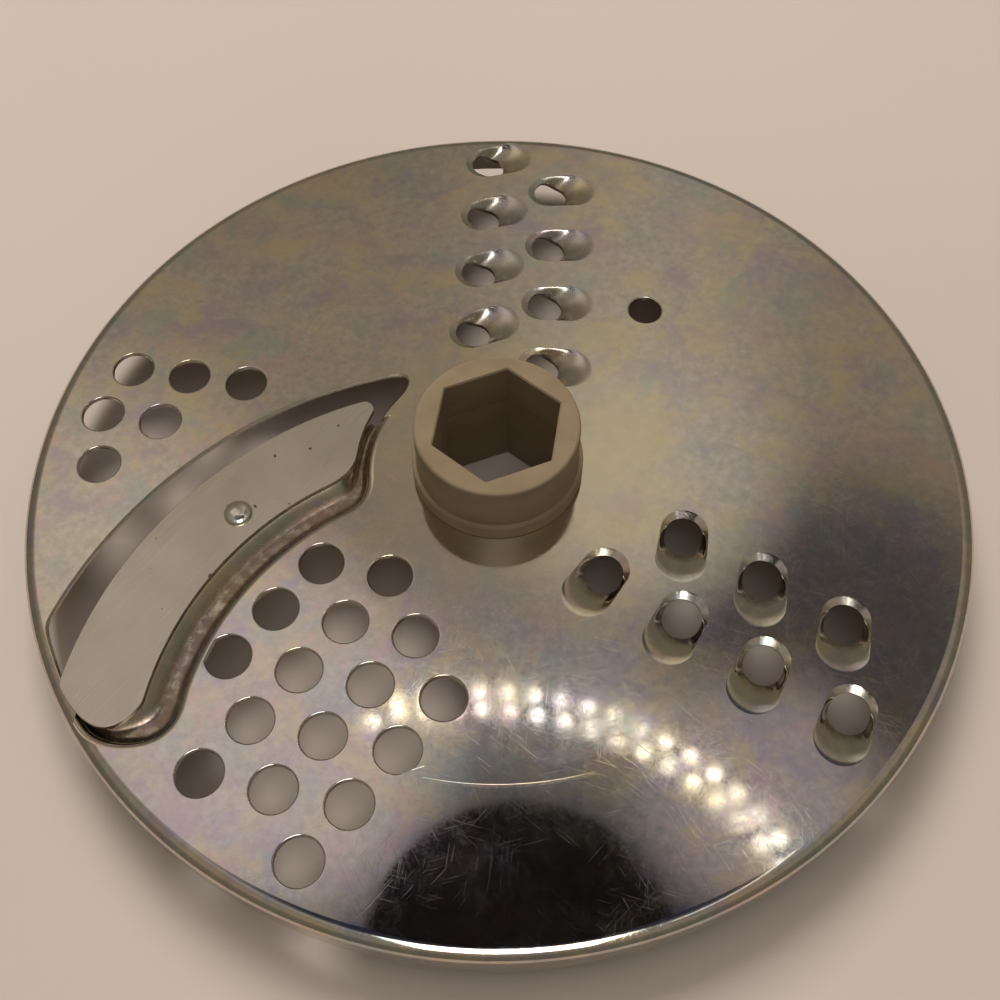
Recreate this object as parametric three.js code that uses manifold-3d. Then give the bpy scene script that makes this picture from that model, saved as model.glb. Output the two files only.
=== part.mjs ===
// Reversible slicing and shredding disc for a food processor, in millimetres, +Z up.
// The origin is on the disc's axis, at the end face of the lower hub, on which the disc stands.
import * as THREE from "three";
import { mergeVertices } from "three/addons/utils/BufferGeometryUtils.js";
import Module from "manifold-3d";

const wasm = await Module();
wasm.setup();

// ---------------------------------------------------------------- driving dimensions
const clearance = 0.3;            // gap left between pieces that touch or fit together
const reach = 1;                  // how far a cutting tool runs past the face it cuts

// the pressed stainless sheet
const discDiameter = 178;
const sheet = 0.9;
const rimDepth = 9;               // top face to the lower edge of the turned-down rim
const rimRollWidth = 2.6;         // the rounding from the flat face into the rim
const rimRollDepth = 1.7;

// the two hub halves
const hubHeight = 13.8;           // each half, from the sheet to its end face
const hubWall = 0.9;              // of the upper barrel round the lower half's spigot
const collarWidth = 0.9;          // by which the flange on the sheet stands out from the barrel
const collarHeight = 3.4;
const shoulderRound = 0.8;
const hubEdgeRound = 0.7;
const hexAcrossFlats = 21.5;      // drive socket, right through both halves
const hexTurn = 20;               // degrees from +X to a corner of the socket
const spigotWall = 1.6;           // outside the socket's corners, on the lower half
const spigotRise = 4.2;           // how far it goes up into the upper half
const keyCount = 4;               // lugs that lock the sheet to the hub
const keyAngle = 45;              // degrees from +X to the first of them
const keyWidth = 4;
const keyReach = 1.4;

// perforations
const holeDiameter = 8;
const holePitch = 11.7;           // along a row
const rowSpacing = 11.35;         // between rows
const holeLand = 1.36;            // least metal between the trough and the nearest hole behind it
const nearestHoleBearing = 159.1; // of that hole about the blade's centre
const plainHole = { diameter: 6.7, radius: 48.4, angle: 50 };

// shredding teeth
const toothHole = { offset: 0.4, radius: 3.5 };     // offsets are from the tooth's place:
const toothMouth = { offset: 0.9, radius: 4.4 };    // hole and mouth away from the ramp,
const toothRamp = { offset: 5, radius: 4.7 };       // the ramp's round end along it
const toothDip = [-0.6, 0.5];     // where round the hole the ramp sinks, as cosines from its middle
const toothDepth = 2.2;           // of the ramp where it meets the hole
const toothLipDepth = 0.55;       // of the sheared lip round the mouth
const toothEdge = 0.3;            // thickness left at the sheared lip
const toothPitch = 16.1;
const toothLean = 14;             // degrees that a ramp leans outward from the tangent

// slicing blade, its window and its pressed seat
const bladeCentre = new THREE.Vector2(-3.6, -55);   // centre of the blade's curved edges
const cuttingRadius = 72.9;
const bladeWidth = 15.2;
const bladeThickness = 1.1;
const bevelWidth = 1.8;           // ground under the cutting edge
const hubLand = 9.1;              // flat metal between the collar and the opening
const bladeHubGap = 1.6;          // from the opening's hub side to the blade
const bladeTipRound = 2.4;        // by which the rounded tip draws back from the hub-side edge
const bladeShoulderRound = 4.6;   // the same at the back edge
const bladeRimGap = 1.9;          // outside of the disc to the blade's foremost outer corner
const bladeEndGap = 4.6;          // outside of the disc to the middle of its outer end
const bladeHeelGap = 12.1;        // outside of the disc to the back edge's outer end
const throat = 7.1;               // open slot ahead of the cutting edge
const throatShift = new THREE.Vector2(-0.7, -1.7);  // the slot widens towards the rim
const noseRound = 4.4;            // by which the slot's inner end is rounded
const troughWidth = 5.4;          // pressed trough behind the blade
const troughDepth = 2.4;
const troughHubRound = 5.6;       // rounding where the trough turns along the hub side
const troughRimRound = 15.3;      // and where it turns along the rim
const rimLand = 2.7;              // flat metal between the window and the outside
const seatOverhang = 4;           // cutting edge ahead of the seat that carries the blade
const seatMargin = 1;             // blade's other edges outside the seat
const seatRimMargin = 3.4;        // and its outer end, where the trough turns round the seat

// Guide points that the outlines' rounded corners bend towards, and where their arcs end: mm outward
// from the edge's own radius, and degrees anticlockwise about the disc's axis from the named corner.
const bladeGuides = {
  corner: { out: 0.2, turn: 5.4 },
  end: { out: 0, turn: -0.4 },
  heel: { out: 4.7, turn: 1 },
  shoulder: { out: 0.1, turn: -4.3 },
  hubSide: [-14, 1.5],            // from the shoulder, and from the tip
};
const openingGuides = {
  foot: { out: -1.6, turn: 0.2 },
  outerEnd: { out: -6, turn: 1.8 },
  footInner: { out: -10.5, turn: 4 },
  inner: { out: 1.3, turn: 0 },
  nose: { out: 1.9, turn: -8.6 },
  rimSide: -3.1,                  // from the trough's outer end
  hubSide: [-10.2, 4.9],          // from the trough's inner end, and from the window's
};

const rivetInset = 10;            // cutting edge to the rivet's centre
const rivetBearing = 135;         // of the rivet about the blade's centre
const rivetHeadRadius = 2.6;
const rivetHeadHeight = 1.2;
const rivetShankRadius = 1.4;
const rivetTailRadius = 2.2;
const rivetTailHeight = 0.8;

// how finely round shapes are divided
const rimSteps = 72;
const hubSteps = 48;
const holeSteps = 16;
const toothSteps = 18;
const outlineStep = 3.5;          // spacing of points along the blade's and window's outlines
const leastSteps = 3;             // on any curve of them
const rollSteps = 5;              // across the rim's rolled edge
const rollInnerSteps = 4;
const hubEdgeSteps = 3;           // across the hub's rounded edges
const domeSteps = 6;              // up the rivet's head

// ---------------------------------------------------------------- sizes worked out
const discRadius = discDiameter / 2;
const discTop = hubHeight + sheet;
const discUnder = hubHeight;
const hubTop = discTop + hubHeight;
const hexCorner = hexAcrossFlats / 2 / Math.cos(Math.PI / 6);
const spigotRadius = hexCorner + spigotWall;
const boreRadius = spigotRadius + clearance;
const hubRadius = boreRadius + hubWall;
const collarRadius = hubRadius + collarWidth;
const openingHubRadius = collarRadius + hubLand;
const bladeHubRadius = openingHubRadius + bladeHubGap;
const windowRimRadius = discRadius - rimLand;
const trailingRadius = cuttingRadius - bladeWidth;
const troughRadius = trailingRadius - troughWidth;
const seatRadius = cuttingRadius - seatOverhang;
const windowRadius = cuttingRadius + throat;
const seatTop = discTop;
const bladeUnder = seatTop + clearance;
const bladeTop = bladeUnder + bladeThickness;

// Rows of round holes in parallel lines: side counts the rows across the group, and start is the
// first hole's place along its row. Both are from the group's datum: for the group behind the blade
// the hole nearest the trough, for the one ahead of it the disc's axis.
const holeGroups = [
  {
    angle: -130.4,
    fromTrough: true,
    rows: [
      { side: 0, start: -23.4, count: 3 },
      { side: 1, start: -29.4, count: 5 },
      { side: 2, start: -23.5, count: 4 },
      { side: 3, start: -17.9, count: 4 },
    ],
  },
  {
    angle: 170,
    fromTrough: false,
    rows: [
      { side: -1, start: 52.6, count: 3 },
      { side: 0, start: 66.8, count: 2 },
      { side: 1, start: 75.4, count: 1 },
    ],
  },
];

// rows of teeth: across is the row's distance from the group's radial line
const toothGroups = [
  {
    angle: 85.6,
    rows: [
      { across: 6.7, start: 32.3, count: 4 },
      { across: -7.8, start: 23.9, count: 4 },
    ],
  },
  {
    angle: -34.4,
    rows: [
      { across: 5.8, start: 37.1, count: 3 },
      { across: -8.9, start: 28.6, count: 4 },
    ],
  },
];

// ---------------------------------------------------------------- solids
const radians = THREE.MathUtils.degToRad;

function toSolid(geometry) {
  const bare = geometry.index ? geometry.clone() : geometry;
  bare.deleteAttribute("normal");
  bare.deleteAttribute("uv");
  const merged = mergeVertices(bare, 1e-5);
  return new wasm.Manifold(new wasm.Mesh({
    numProp: 3,
    vertProperties: new Float32Array(merged.attributes.position.array),
    triVerts: new Uint32Array(merged.index.array),
  }));
}

function toMesh(name, solid, look) {
  const { vertProperties, triVerts } = solid.getMesh();
  const geometry = new THREE.BufferGeometry();
  geometry.setAttribute("position", new THREE.BufferAttribute(vertProperties, 3));
  geometry.setIndex(new THREE.BufferAttribute(triVerts, 1));
  geometry.computeVertexNormals();
  const mesh = new THREE.Mesh(geometry, new THREE.MeshStandardMaterial(look));
  mesh.name = name;
  return mesh;
}

function joined(solids) {
  return solids.reduce((whole, solid) => whole.add(solid));
}

// A straight-sided solid on a closed outline, from one height to another.
function prism(outline, bottom, top) {
  const geometry = new THREE.ExtrudeGeometry(new THREE.Shape(outline), {
    depth: top - bottom,
    bevelEnabled: false,
  });
  return toSolid(geometry.translate(0, 0, bottom));
}

// A turned solid about +Z from a closed profile of [radius, height] pairs.
function turned(profile, steps) {
  const points = [...profile, profile[0]].map(([radius, height]) => new THREE.Vector2(radius, height));
  return toSolid(new THREE.LatheGeometry(points, steps).rotateX(Math.PI / 2));
}

function cylinder(radius, bottom, top, centre, steps) {
  const geometry = new THREE.CylinderGeometry(radius, radius, top - bottom, steps);
  geometry.rotateX(Math.PI / 2);
  return toSolid(geometry.translate(centre.x, centre.y, (bottom + top) / 2));
}

// Points on a quarter of an ellipse, from its side (angle 0) to its top (90 degrees).
function quarter(centreRadius, centreHeight, width, height, from, to, steps) {
  return Array.from({ length: steps + 1 }, (_, i) => {
    const turn = radians(from + (to - from) * i / steps);
    return [centreRadius + width * Math.cos(turn), centreHeight + height * Math.sin(turn)];
  });
}

// ---------------------------------------------------------------- outlines in plan
function polar(radius, degrees, centre = new THREE.Vector2()) {
  const turn = radians(degrees);
  return new THREE.Vector2(centre.x + radius * Math.cos(turn), centre.y + radius * Math.sin(turn));
}

// A group's own axes: along runs outward on its radial line, across runs anticlockwise of it.
function inGroup(along, across, degrees) {
  return new THREE.Vector2(along, across).rotateAround(new THREE.Vector2(), radians(degrees));
}

// The bearing, about a centre on the blade's side, of the point on a circle of this radius round that
// centre which lies at a given distance from the disc's axis (law of cosines).
function crossing(centre, radius, axisRadius) {
  const away = centre.length();
  const turn = Math.acos((axisRadius ** 2 - away ** 2 - radius ** 2) / (2 * radius * away));
  return (THREE.MathUtils.radToDeg(centre.angle() - turn) + 360) % 360;
}

// The guide point of a rounded corner on a circle of this radius about the disc's axis.
function guidePoint(radius, bearing, { out, turn }) {
  return polar(radius + out, bearing + turn);
}

function bearingOf(point) {
  return THREE.MathUtils.radToDeg(point.angle());
}

function rounded(start, corner, end) {
  return new THREE.QuadraticBezierCurve(start, corner, end);
}

function arc(centre, radius, from, to) {
  return new THREE.ArcCurve(centre.x, centre.y, radius, radians(from), radians(to), to < from);
}

// A closed outline from curves laid end to end, with points at an even spacing on each.
function outlineOf(curves) {
  return curves.flatMap((curve) => {
    const straight = curve instanceof THREE.LineCurve;
    const steps = straight ? 1 : Math.max(leastSteps, Math.ceil(curve.getLength() / outlineStep));
    return curve.getPoints(steps).slice(0, -1);
  });
}

// Moves an anticlockwise outline inward by a distance, or outward when it is negative.
function inset(outline, distance) {
  return outline.map((point, i) => {
    const before = outline[(i + outline.length - 1) % outline.length];
    const after = outline[(i + 1) % outline.length];
    const along = after.clone().sub(before).normalize();
    return new THREE.Vector2(point.x - along.y * distance, point.y + along.x * distance);
  });
}

const axis = new THREE.Vector2();

// The blade, or the seat under it: front edge, outer end, back edge, hub-side edge. The margins draw
// the edges in from the blade's own: rimMargin its outer corner and end, margin the rest but the front.
function bladeShape(frontRadius, margin, rimMargin) {
  const tipRadius = bladeHubRadius + bladeTipRound + margin;
  const cornerRadius = discRadius - bladeRimGap - rimMargin;
  const front = arc(
    bladeCentre, frontRadius,
    crossing(bladeCentre, frontRadius, tipRadius), crossing(bladeCentre, frontRadius, cornerRadius),
  );
  const backRadius = trailingRadius + margin;
  const back = arc(
    bladeCentre, backRadius,
    crossing(bladeCentre, backRadius, discRadius - bladeHeelGap - margin),
    crossing(bladeCentre, backRadius, bladeHubRadius + bladeShoulderRound + margin),
  );
  const corner = front.getPoint(1);
  const heel = back.getPoint(0);
  const shoulder = back.getPoint(1);
  const tip = front.getPoint(0);
  const heelBearing = bearingOf(heel);
  const end = guidePoint(discRadius - bladeEndGap - rimMargin, heelBearing, bladeGuides.end);
  const hubSideRadius = bladeHubRadius + margin;
  const [fromShoulder, fromTip] = bladeGuides.hubSide;
  const hubSide = arc(axis, hubSideRadius, bearingOf(shoulder) + fromShoulder, bearingOf(tip) + fromTip);
  return outlineOf([
    front,
    rounded(corner, guidePoint(cornerRadius, bearingOf(corner), bladeGuides.corner), end),
    rounded(
      end, guidePoint(discRadius - bladeHeelGap - rimMargin, heelBearing, bladeGuides.heel), heel,
    ),
    back,
    rounded(
      shoulder, guidePoint(hubSideRadius, bearingOf(shoulder), bladeGuides.shoulder), hubSide.getPoint(0),
    ),
    hubSide,
    new THREE.LineCurve(hubSide.getPoint(1), tip),
  ]);
}

// The opening in the sheet: the window ahead of the blade and the trough round its other sides.
function openingOutline() {
  const windowCentre = bladeCentre.clone().add(throatShift);
  const leading = arc(
    windowCentre, windowRadius,
    crossing(windowCentre, windowRadius, openingHubRadius + noseRound),
    crossing(windowCentre, windowRadius, windowRimRadius),
  );
  const behind = arc(
    bladeCentre, troughRadius,
    crossing(bladeCentre, troughRadius, windowRimRadius - troughRimRound),
    crossing(bladeCentre, troughRadius, openingHubRadius + troughHubRound),
  );
  const nose = leading.getPoint(0);
  const outer = leading.getPoint(1);
  const foot = behind.getPoint(0);
  const inner = behind.getPoint(1);
  const footBearing = bearingOf(foot);
  const rimSide = arc(axis, windowRimRadius, bearingOf(outer), footBearing + openingGuides.rimSide);
  const outerEnd = guidePoint(windowRimRadius, footBearing, openingGuides.outerEnd);
  const [fromInner, fromNose] = openingGuides.hubSide;
  const hubSide = arc(axis, openingHubRadius, bearingOf(inner) + fromInner, bearingOf(nose) + fromNose);
  return outlineOf([
    leading,
    rimSide,
    rounded(
      rimSide.getPoint(1), guidePoint(windowRimRadius, footBearing, openingGuides.foot), outerEnd,
    ),
    rounded(outerEnd, guidePoint(windowRimRadius, footBearing, openingGuides.footInner), foot),
    behind,
    rounded(
      inner, guidePoint(openingHubRadius, bearingOf(inner), openingGuides.inner), hubSide.getPoint(0),
    ),
    hubSide,
    rounded(
      hubSide.getPoint(1), guidePoint(openingHubRadius, bearingOf(nose), openingGuides.nose), nose,
    ),
  ]);
}

function circleOutline(centre, radius, steps) {
  return Array.from({ length: steps }, (_, i) => polar(radius, 360 * i / steps, centre));
}

// ---------------------------------------------------------------- disc plate
// Sheet with a rounded, turned-down rim; the inner surface is one sheet thickness in.
function blankDisc() {
  const rollCentre = discTop - rimRollDepth;
  const outside = quarter(
    discRadius - rimRollWidth, rollCentre, rimRollWidth, rimRollDepth, 90, 0, rollSteps,
  );
  const inside = quarter(
    discRadius - rimRollWidth, rollCentre, rimRollWidth - sheet, rimRollDepth - sheet, 0, 90,
    rollInnerSteps,
  );
  const skirtEnd = discTop - rimDepth;
  return turned([
    [boreRadius, discUnder],
    [boreRadius, discTop],
    ...outside,
    [discRadius, skirtEnd],
    [discRadius - sheet, skirtEnd],
    ...inside,
  ].reverse(), rimSteps);
}

function roundHoles() {
  const besideTrough = polar(troughRadius - holeLand - holeDiameter / 2, nearestHoleBearing, bladeCentre);
  return holeGroups.flatMap(({ angle, fromTrough, rows }) => rows.flatMap(({ side, start, count }) => (
    Array.from({ length: count }, (_, i) => {
      const place = inGroup(start + i * holePitch, side * rowSpacing, angle);
      const centre = fromTrough ? place.add(besideTrough) : place;
      return cylinder(holeDiameter / 2, discUnder - reach, discTop + reach, centre, holeSteps);
    })
  )));
}

// Where each tooth is, and the direction in which its ramp runs, in degrees.
function toothPlaces() {
  return toothGroups.flatMap(({ angle, rows }) => rows.flatMap(({ across, start, count }) => (
    Array.from({ length: count }, (_, i) => {
      const centre = inGroup(start + i * toothPitch, across, angle);
      const bearing = THREE.MathUtils.radToDeg(centre.angle());
      return { centre, ramp: bearing - 90 + toothLean };
    })
  )));
}

// The four edges of one tooth's pressed metal, each the same number of points.
function toothRails({ centre, ramp }) {
  const out = polar(1, ramp);
  const rails = { rimTop: [], lipTop: [], lipUnder: [], rimUnder: [] };
  for (let i = 0; i < toothSteps; i += 1) {
    const turn = 360 * i / toothSteps;
    const towardsRamp = Math.cos(radians(turn));
    const round = towardsRamp > 0 ? toothRamp : toothMouth;
    const shift = towardsRamp > 0 ? toothRamp.offset : -toothMouth.offset;
    const rim = polar(round.radius, ramp + turn, centre).addScaledVector(out, shift);
    const lip = polar(toothHole.radius, ramp + turn, centre).addScaledVector(out, -toothHole.offset);
    const dip = THREE.MathUtils.smoothstep(towardsRamp, ...toothDip);
    const lipTop = discTop - toothLipDepth - (toothDepth - toothLipDepth) * dip;
    const lipUnder = lipTop - toothEdge - (sheet - toothEdge) * dip;
    rails.rimTop.push([rim.x, rim.y, discTop]);
    rails.lipTop.push([lip.x, lip.y, lipTop]);
    rails.lipUnder.push([lip.x, lip.y, lipUnder]);
    rails.rimUnder.push([rim.x, rim.y, discUnder]);
  }
  return rails;
}

// A closed ring whose section joins the rails in order.
function ringSolid(rails) {
  const loops = Object.values(rails);
  const count = loops[0].length;
  const index = [];
  loops.forEach((_, j) => {
    const here = j * count;
    const next = ((j + 1) % loops.length) * count;
    for (let i = 0; i < count; i += 1) {
      const k = (i + 1) % count;
      index.push(here + i, here + k, next + i, here + k, next + k, next + i);
    }
  });
  const geometry = new THREE.BufferGeometry();
  geometry.setAttribute("position", new THREE.Float32BufferAttribute(loops.flat(2), 3));
  geometry.setIndex(index);
  return toSolid(geometry);
}

// The seat: an open trough pressed below the sheet with a raised platform under the blade.
function bladeSeat(opening) {
  const floorTop = discTop - troughDepth;
  const floorUnder = floorTop - sheet;
  const withinSeat = cylinder(seatRadius, floorUnder - 2 * reach, discTop + 2 * reach, bladeCentre, rimSteps);
  const pan = prism(inset(opening, -sheet), floorUnder, discTop)
    .subtract(prism(opening, floorTop, discTop + reach));
  const raised = prism(bladeShape(seatRadius, seatMargin, seatRimMargin), floorUnder, seatTop);
  const hollow = prism(
    bladeShape(seatRadius + reach, seatMargin + sheet, seatRimMargin + sheet),
    floorUnder - reach, seatTop - sheet,
  );
  return pan.intersect(withinSeat).add(raised).subtract(hollow);
}

function keyOutlines(radius, width) {
  return Array.from({ length: keyCount }, (_, i) => {
    const angle = keyAngle + 360 * i / keyCount;
    return [[0, -width], [radius, -width], [radius, width], [0, width]]
      .map(([along, across]) => inGroup(along, across / 2, angle));
  });
}

function discPlate() {
  const opening = openingOutline();
  const teeth = toothPlaces().map(toothRails);
  const toothCuts = teeth.map(({ rimTop }) => prism(
    rimTop.map(([x, y]) => new THREE.Vector2(x, y)), discUnder - reach, discTop + reach,
  ));
  const keySlots = keyOutlines(boreRadius + keyReach, keyWidth + 2 * clearance)
    .map((outline) => prism(outline, discUnder - reach, discTop + reach));
  const cuts = joined([
    ...roundHoles(),
    ...toothCuts,
    ...keySlots,
    prism(opening, discUnder - reach, discTop + reach),
    cylinder(
      plainHole.diameter / 2, discUnder - reach, discTop + reach,
      polar(plainHole.radius, plainHole.angle), holeSteps,
    ),
  ]);
  const pressed = [bladeSeat(opening), ...teeth.map(ringSolid)];
  return joined([blankDisc().subtract(cuts), ...pressed]).subtract(rivetHole());
}

// ---------------------------------------------------------------- blade and rivet
function rivetCentre() {
  return polar(cuttingRadius - rivetInset, rivetBearing, bladeCentre);
}

function rivetHole() {
  return cylinder(
    rivetShankRadius + clearance, seatTop - sheet - reach, bladeTop + reach, rivetCentre(), holeSteps,
  );
}

// Flat plate whose cutting edge is ground from below: its lower outline is held back there.
function slicingBlade() {
  const upper = bladeShape(cuttingRadius, 0, 0);
  const lower = upper.map((point) => (
    point.clone().sub(bladeCentre).clampLength(0, cuttingRadius - bevelWidth).add(bladeCentre)
  ));
  const count = upper.length;
  const faces = THREE.ShapeUtils.triangulateShape(upper, []);
  const index = [];
  faces.forEach(([a, b, c]) => {
    index.push(a, b, c, count + a, count + c, count + b);
  });
  for (let i = 0; i < count; i += 1) {
    const k = (i + 1) % count;
    index.push(count + i, count + k, i, count + k, k, i);
  }
  const positions = [
    ...upper.flatMap(({ x, y }) => [x, y, bladeTop]),
    ...lower.flatMap(({ x, y }) => [x, y, bladeUnder]),
  ];
  const geometry = new THREE.BufferGeometry();
  geometry.setAttribute("position", new THREE.Float32BufferAttribute(positions, 3));
  geometry.setIndex(index);
  return toSolid(geometry).subtract(rivetHole());
}

// Domed head above the blade, shank through blade and seat, clenched tail below the seat.
function bladeRivet() {
  const headUnder = bladeTop + clearance;
  const tailTop = seatTop - sheet - clearance;
  const dome = quarter(0, headUnder, rivetHeadRadius, rivetHeadHeight, 0, 90, domeSteps);
  const centre = rivetCentre();
  return turned([
    [0, tailTop - rivetTailHeight],
    [rivetTailRadius, tailTop - rivetTailHeight],
    [rivetTailRadius, tailTop],
    [rivetShankRadius, tailTop],
    [rivetShankRadius, headUnder],
    ...dome,
  ], holeSteps).translate([centre.x, centre.y, 0]);
}

// ---------------------------------------------------------------- hub
// One half's outer profile, measured outward from the sheet: collar, shoulder, barrel, edge.
function hubProfile() {
  const shoulderFoot = collarHeight + shoulderRound;
  return [
    [0, clearance],
    [collarRadius, clearance],
    ...quarter(
      collarRadius - shoulderRound / 2, collarHeight - shoulderRound / 2,
      shoulderRound / 2, shoulderRound / 2, 0, 90, hubEdgeSteps,
    ),
    [hubRadius, shoulderFoot],
    ...quarter(
      hubRadius - hubEdgeRound, hubHeight - hubEdgeRound, hubEdgeRound, hubEdgeRound, 0, 90, hubEdgeSteps,
    ),
    [0, hubHeight],
  ];
}

function hexSocket() {
  const outline = circleOutline(new THREE.Vector2(), hexCorner, 6)
    .map((corner) => corner.rotateAround(new THREE.Vector2(), radians(hexTurn)));
  return prism(outline, -reach, hubTop + reach);
}

function hubUpper() {
  const body = turned(hubProfile().map(([radius, height]) => [radius, discTop + height]), hubSteps);
  const counterbore = cylinder(
    spigotRadius + clearance, discTop - reach, discTop + spigotRise + clearance,
    new THREE.Vector2(), hubSteps,
  );
  return body.subtract(counterbore).subtract(hexSocket());
}

function hubLower() {
  const mirrored = hubProfile().map(([radius, height]) => [radius, discUnder - height]).reverse();
  const body = turned(mirrored, hubSteps);
  const spigot = cylinder(
    spigotRadius, discUnder - reach, discTop + spigotRise, new THREE.Vector2(), hubSteps,
  );
  const keys = keyOutlines(boreRadius + keyReach - clearance, keyWidth)
    .map((outline) => prism(outline, discUnder - reach, discTop - clearance));
  return joined([body, spigot, ...keys]).subtract(hexSocket());
}

// ---------------------------------------------------------------- assembly
const looks = {
  plate: { color: 0x8b8577, roughness: 0.24, metalness: 1 },
  blade: { color: 0x9a9184, roughness: 0.36, metalness: 1 },
  rivet: { color: 0xb0a898, roughness: 0.18, metalness: 1 },
  hub: { color: 0x8a7b60, roughness: 0.6, metalness: 0 },
};

const disc = new THREE.Group();
disc.add(
  toMesh("disc_plate", discPlate(), looks.plate),
  toMesh("slicing_blade", slicingBlade(), looks.blade),
  toMesh("blade_rivet", bladeRivet(), looks.rivet),
  toMesh("hub_upper", hubUpper(), looks.hub),
  toMesh("hub_lower", hubLower(), looks.hub),
);

export default disc;
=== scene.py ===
import math

import bmesh
import bpy
import numpy as np
from mathutils import Matrix, Vector


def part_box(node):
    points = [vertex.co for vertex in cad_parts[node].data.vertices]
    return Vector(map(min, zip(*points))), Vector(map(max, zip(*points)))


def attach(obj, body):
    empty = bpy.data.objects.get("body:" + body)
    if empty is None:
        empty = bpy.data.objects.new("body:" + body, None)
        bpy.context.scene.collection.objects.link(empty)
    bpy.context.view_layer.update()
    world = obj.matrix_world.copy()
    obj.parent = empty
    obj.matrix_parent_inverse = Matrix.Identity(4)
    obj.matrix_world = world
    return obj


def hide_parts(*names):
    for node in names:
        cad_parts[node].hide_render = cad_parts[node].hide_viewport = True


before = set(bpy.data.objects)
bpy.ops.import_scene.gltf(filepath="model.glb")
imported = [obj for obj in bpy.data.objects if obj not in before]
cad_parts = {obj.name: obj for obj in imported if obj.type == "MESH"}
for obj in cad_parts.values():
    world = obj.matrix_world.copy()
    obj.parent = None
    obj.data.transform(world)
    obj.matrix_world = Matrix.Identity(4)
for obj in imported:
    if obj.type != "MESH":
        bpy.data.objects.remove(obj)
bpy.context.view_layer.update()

MM = 0.001                      # every shape below is worked out in millimetres

# ---------------------------------------------------------------- sizes, in mm
# from the frame
PLATE_LOW, PLATE_HIGH = [np.array(corner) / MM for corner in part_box("disc_plate")]
BLADE_LOW, BLADE_HIGH = [np.array(corner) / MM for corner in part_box("slicing_blade")]
RIVET_LOW, RIVET_HIGH = [np.array(corner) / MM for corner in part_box("blade_rivet")]
HUB_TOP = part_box("hub_upper")[1].z / MM
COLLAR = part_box("hub_upper")[1].x / MM
DISC = PLATE_HIGH[0]            # radius of the plate
TOP = PLATE_HIGH[2]             # height of its flat face
SHEET = 0.9
UNDER = TOP - SHEET

# rim, punched holes and drive socket
ROLL_WIDTH = 2.6
ROLL_DEPTH = 1.7
HOLE = 4.0                      # radius of a punched hole
HOLE_PITCH = 11.7
ROW_SPACING = 11.35
HOLE_LAND = 1.36
HOLE_BEARING = 159.1
PLAIN_HOLE = (3.35, 48.4, 50)   # radius, distance from the axis, bearing
EDGE_ROUND = 0.34               # left by the punch
SOCKET_CORNER = 12.413          # axis to a corner of the hexagon, which is 21.5 across flats
SOCKET_TURN = 20
SPIGOT_WALL = 1.6
SPIGOT = SOCKET_CORNER + SPIGOT_WALL
CLEARANCE = 0.3
LAP = 0.03                      # by which pressed metal laps under the sheet that it joins
SINK = 0.005                    # and lies below its face

# blade, its window and its pressed seat
BLADE_CENTRE = np.array([-3.6, -55.0])
CUTTING = 72.9
BLADE_WIDTH = 15.2
BEVEL = 1.8
HUB_LAND = 9.1
BLADE_HUB_GAP = 1.6
THROAT = 7.1
THROAT_SHIFT = np.array([-0.7, -1.7])
TROUGH_WIDTH = 5.4
TROUGH_DEPTH = 2.4
BEND = 1.6                      # rounding from the flat face into the trough
RIM_LAND = 2.7
SEAT = CUTTING - 4.0
SEAT_MARGIN = 1.0
SEAT_RIM_MARGIN = 3.4
TRAILING = CUTTING - BLADE_WIDTH
OPENING_HUB = COLLAR + HUB_LAND
BLADE_HUB = OPENING_HUB + BLADE_HUB_GAP
WINDOW_RIM = DISC - RIM_LAND
# rounded corners of the blade: gaps from the outside of the disc, then mm and degrees round the
# disc's axis to the points that the corners bend towards
CORNER_GAP = 1.9
END_GAP = 4.6
END_ROUND_GAP = 7.4
HEEL_GAP = 12.1
TIP_ROUND = 2.4
SHOULDER_ROUND = 4.6
CORNER_RISE, CORNER_TURN = 0.2, 5.4
END_TURN = 0.4
HEEL_TURN = 1
SHOULDER_RISE, SHOULDER_TURN = 0.1, 4.3
HUB_SIDE_START, HUB_SIDE_END = 14, 1.5

# rounded corners of the opening, in the same way
NOSE_ROUND = 4.4
FOOT_ROUND = 15.3               # where the trough turns along the rim
INNER_ROUND = 5.6               # and where it turns along the hub side
RIM_SIDE_END = 3.1
OUTER_END_DROP, OUTER_END_TURN = 6, 1.8
FOOT_DROP, FOOT_TURN = 1.6, 0.2
HEEL_SIDE_DROP, HEEL_SIDE_TURN = 10.5, 4
INNER_RISE = 1.3
OPENING_SIDE_START, OPENING_SIDE_END = 10.2, 4.9
NOSE_RISE, NOSE_TURN = 1.9, 8.6

# section of the trough: depth of its bend, then shares of its width
BEND_DROP = 1.3
WALL_SHARE = 0.28               # taken by the rounding from the wall into the floor
SLOPE_START = 0.45              # where the floor starts to rise to the seat

RIVET_INSET = 10.0
RIVET_BEARING = 135
SHANK = 1.4

# shredding teeth
TOOTH_HOLE = (0.4, 3.5)         # offset and radius
TOOTH_MOUTH = (0.9, 4.4)
TOOTH_RAMP = (5.0, 4.7)
TOOTH_DEPTH = 2.2
LIP_DEPTH = 0.55
LIP_EDGE = 0.3
TOOTH_PITCH = 16.1
TOOTH_LEAN = 14
LIP_TURNS = [0, 58, 108, 180]   # bearings on the hole's lip that meet the rim's corners
DIP_START, DIP_SPAN = 0.7, 1.3  # where round the hole the ramp sinks, in cosines from its middle

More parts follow.
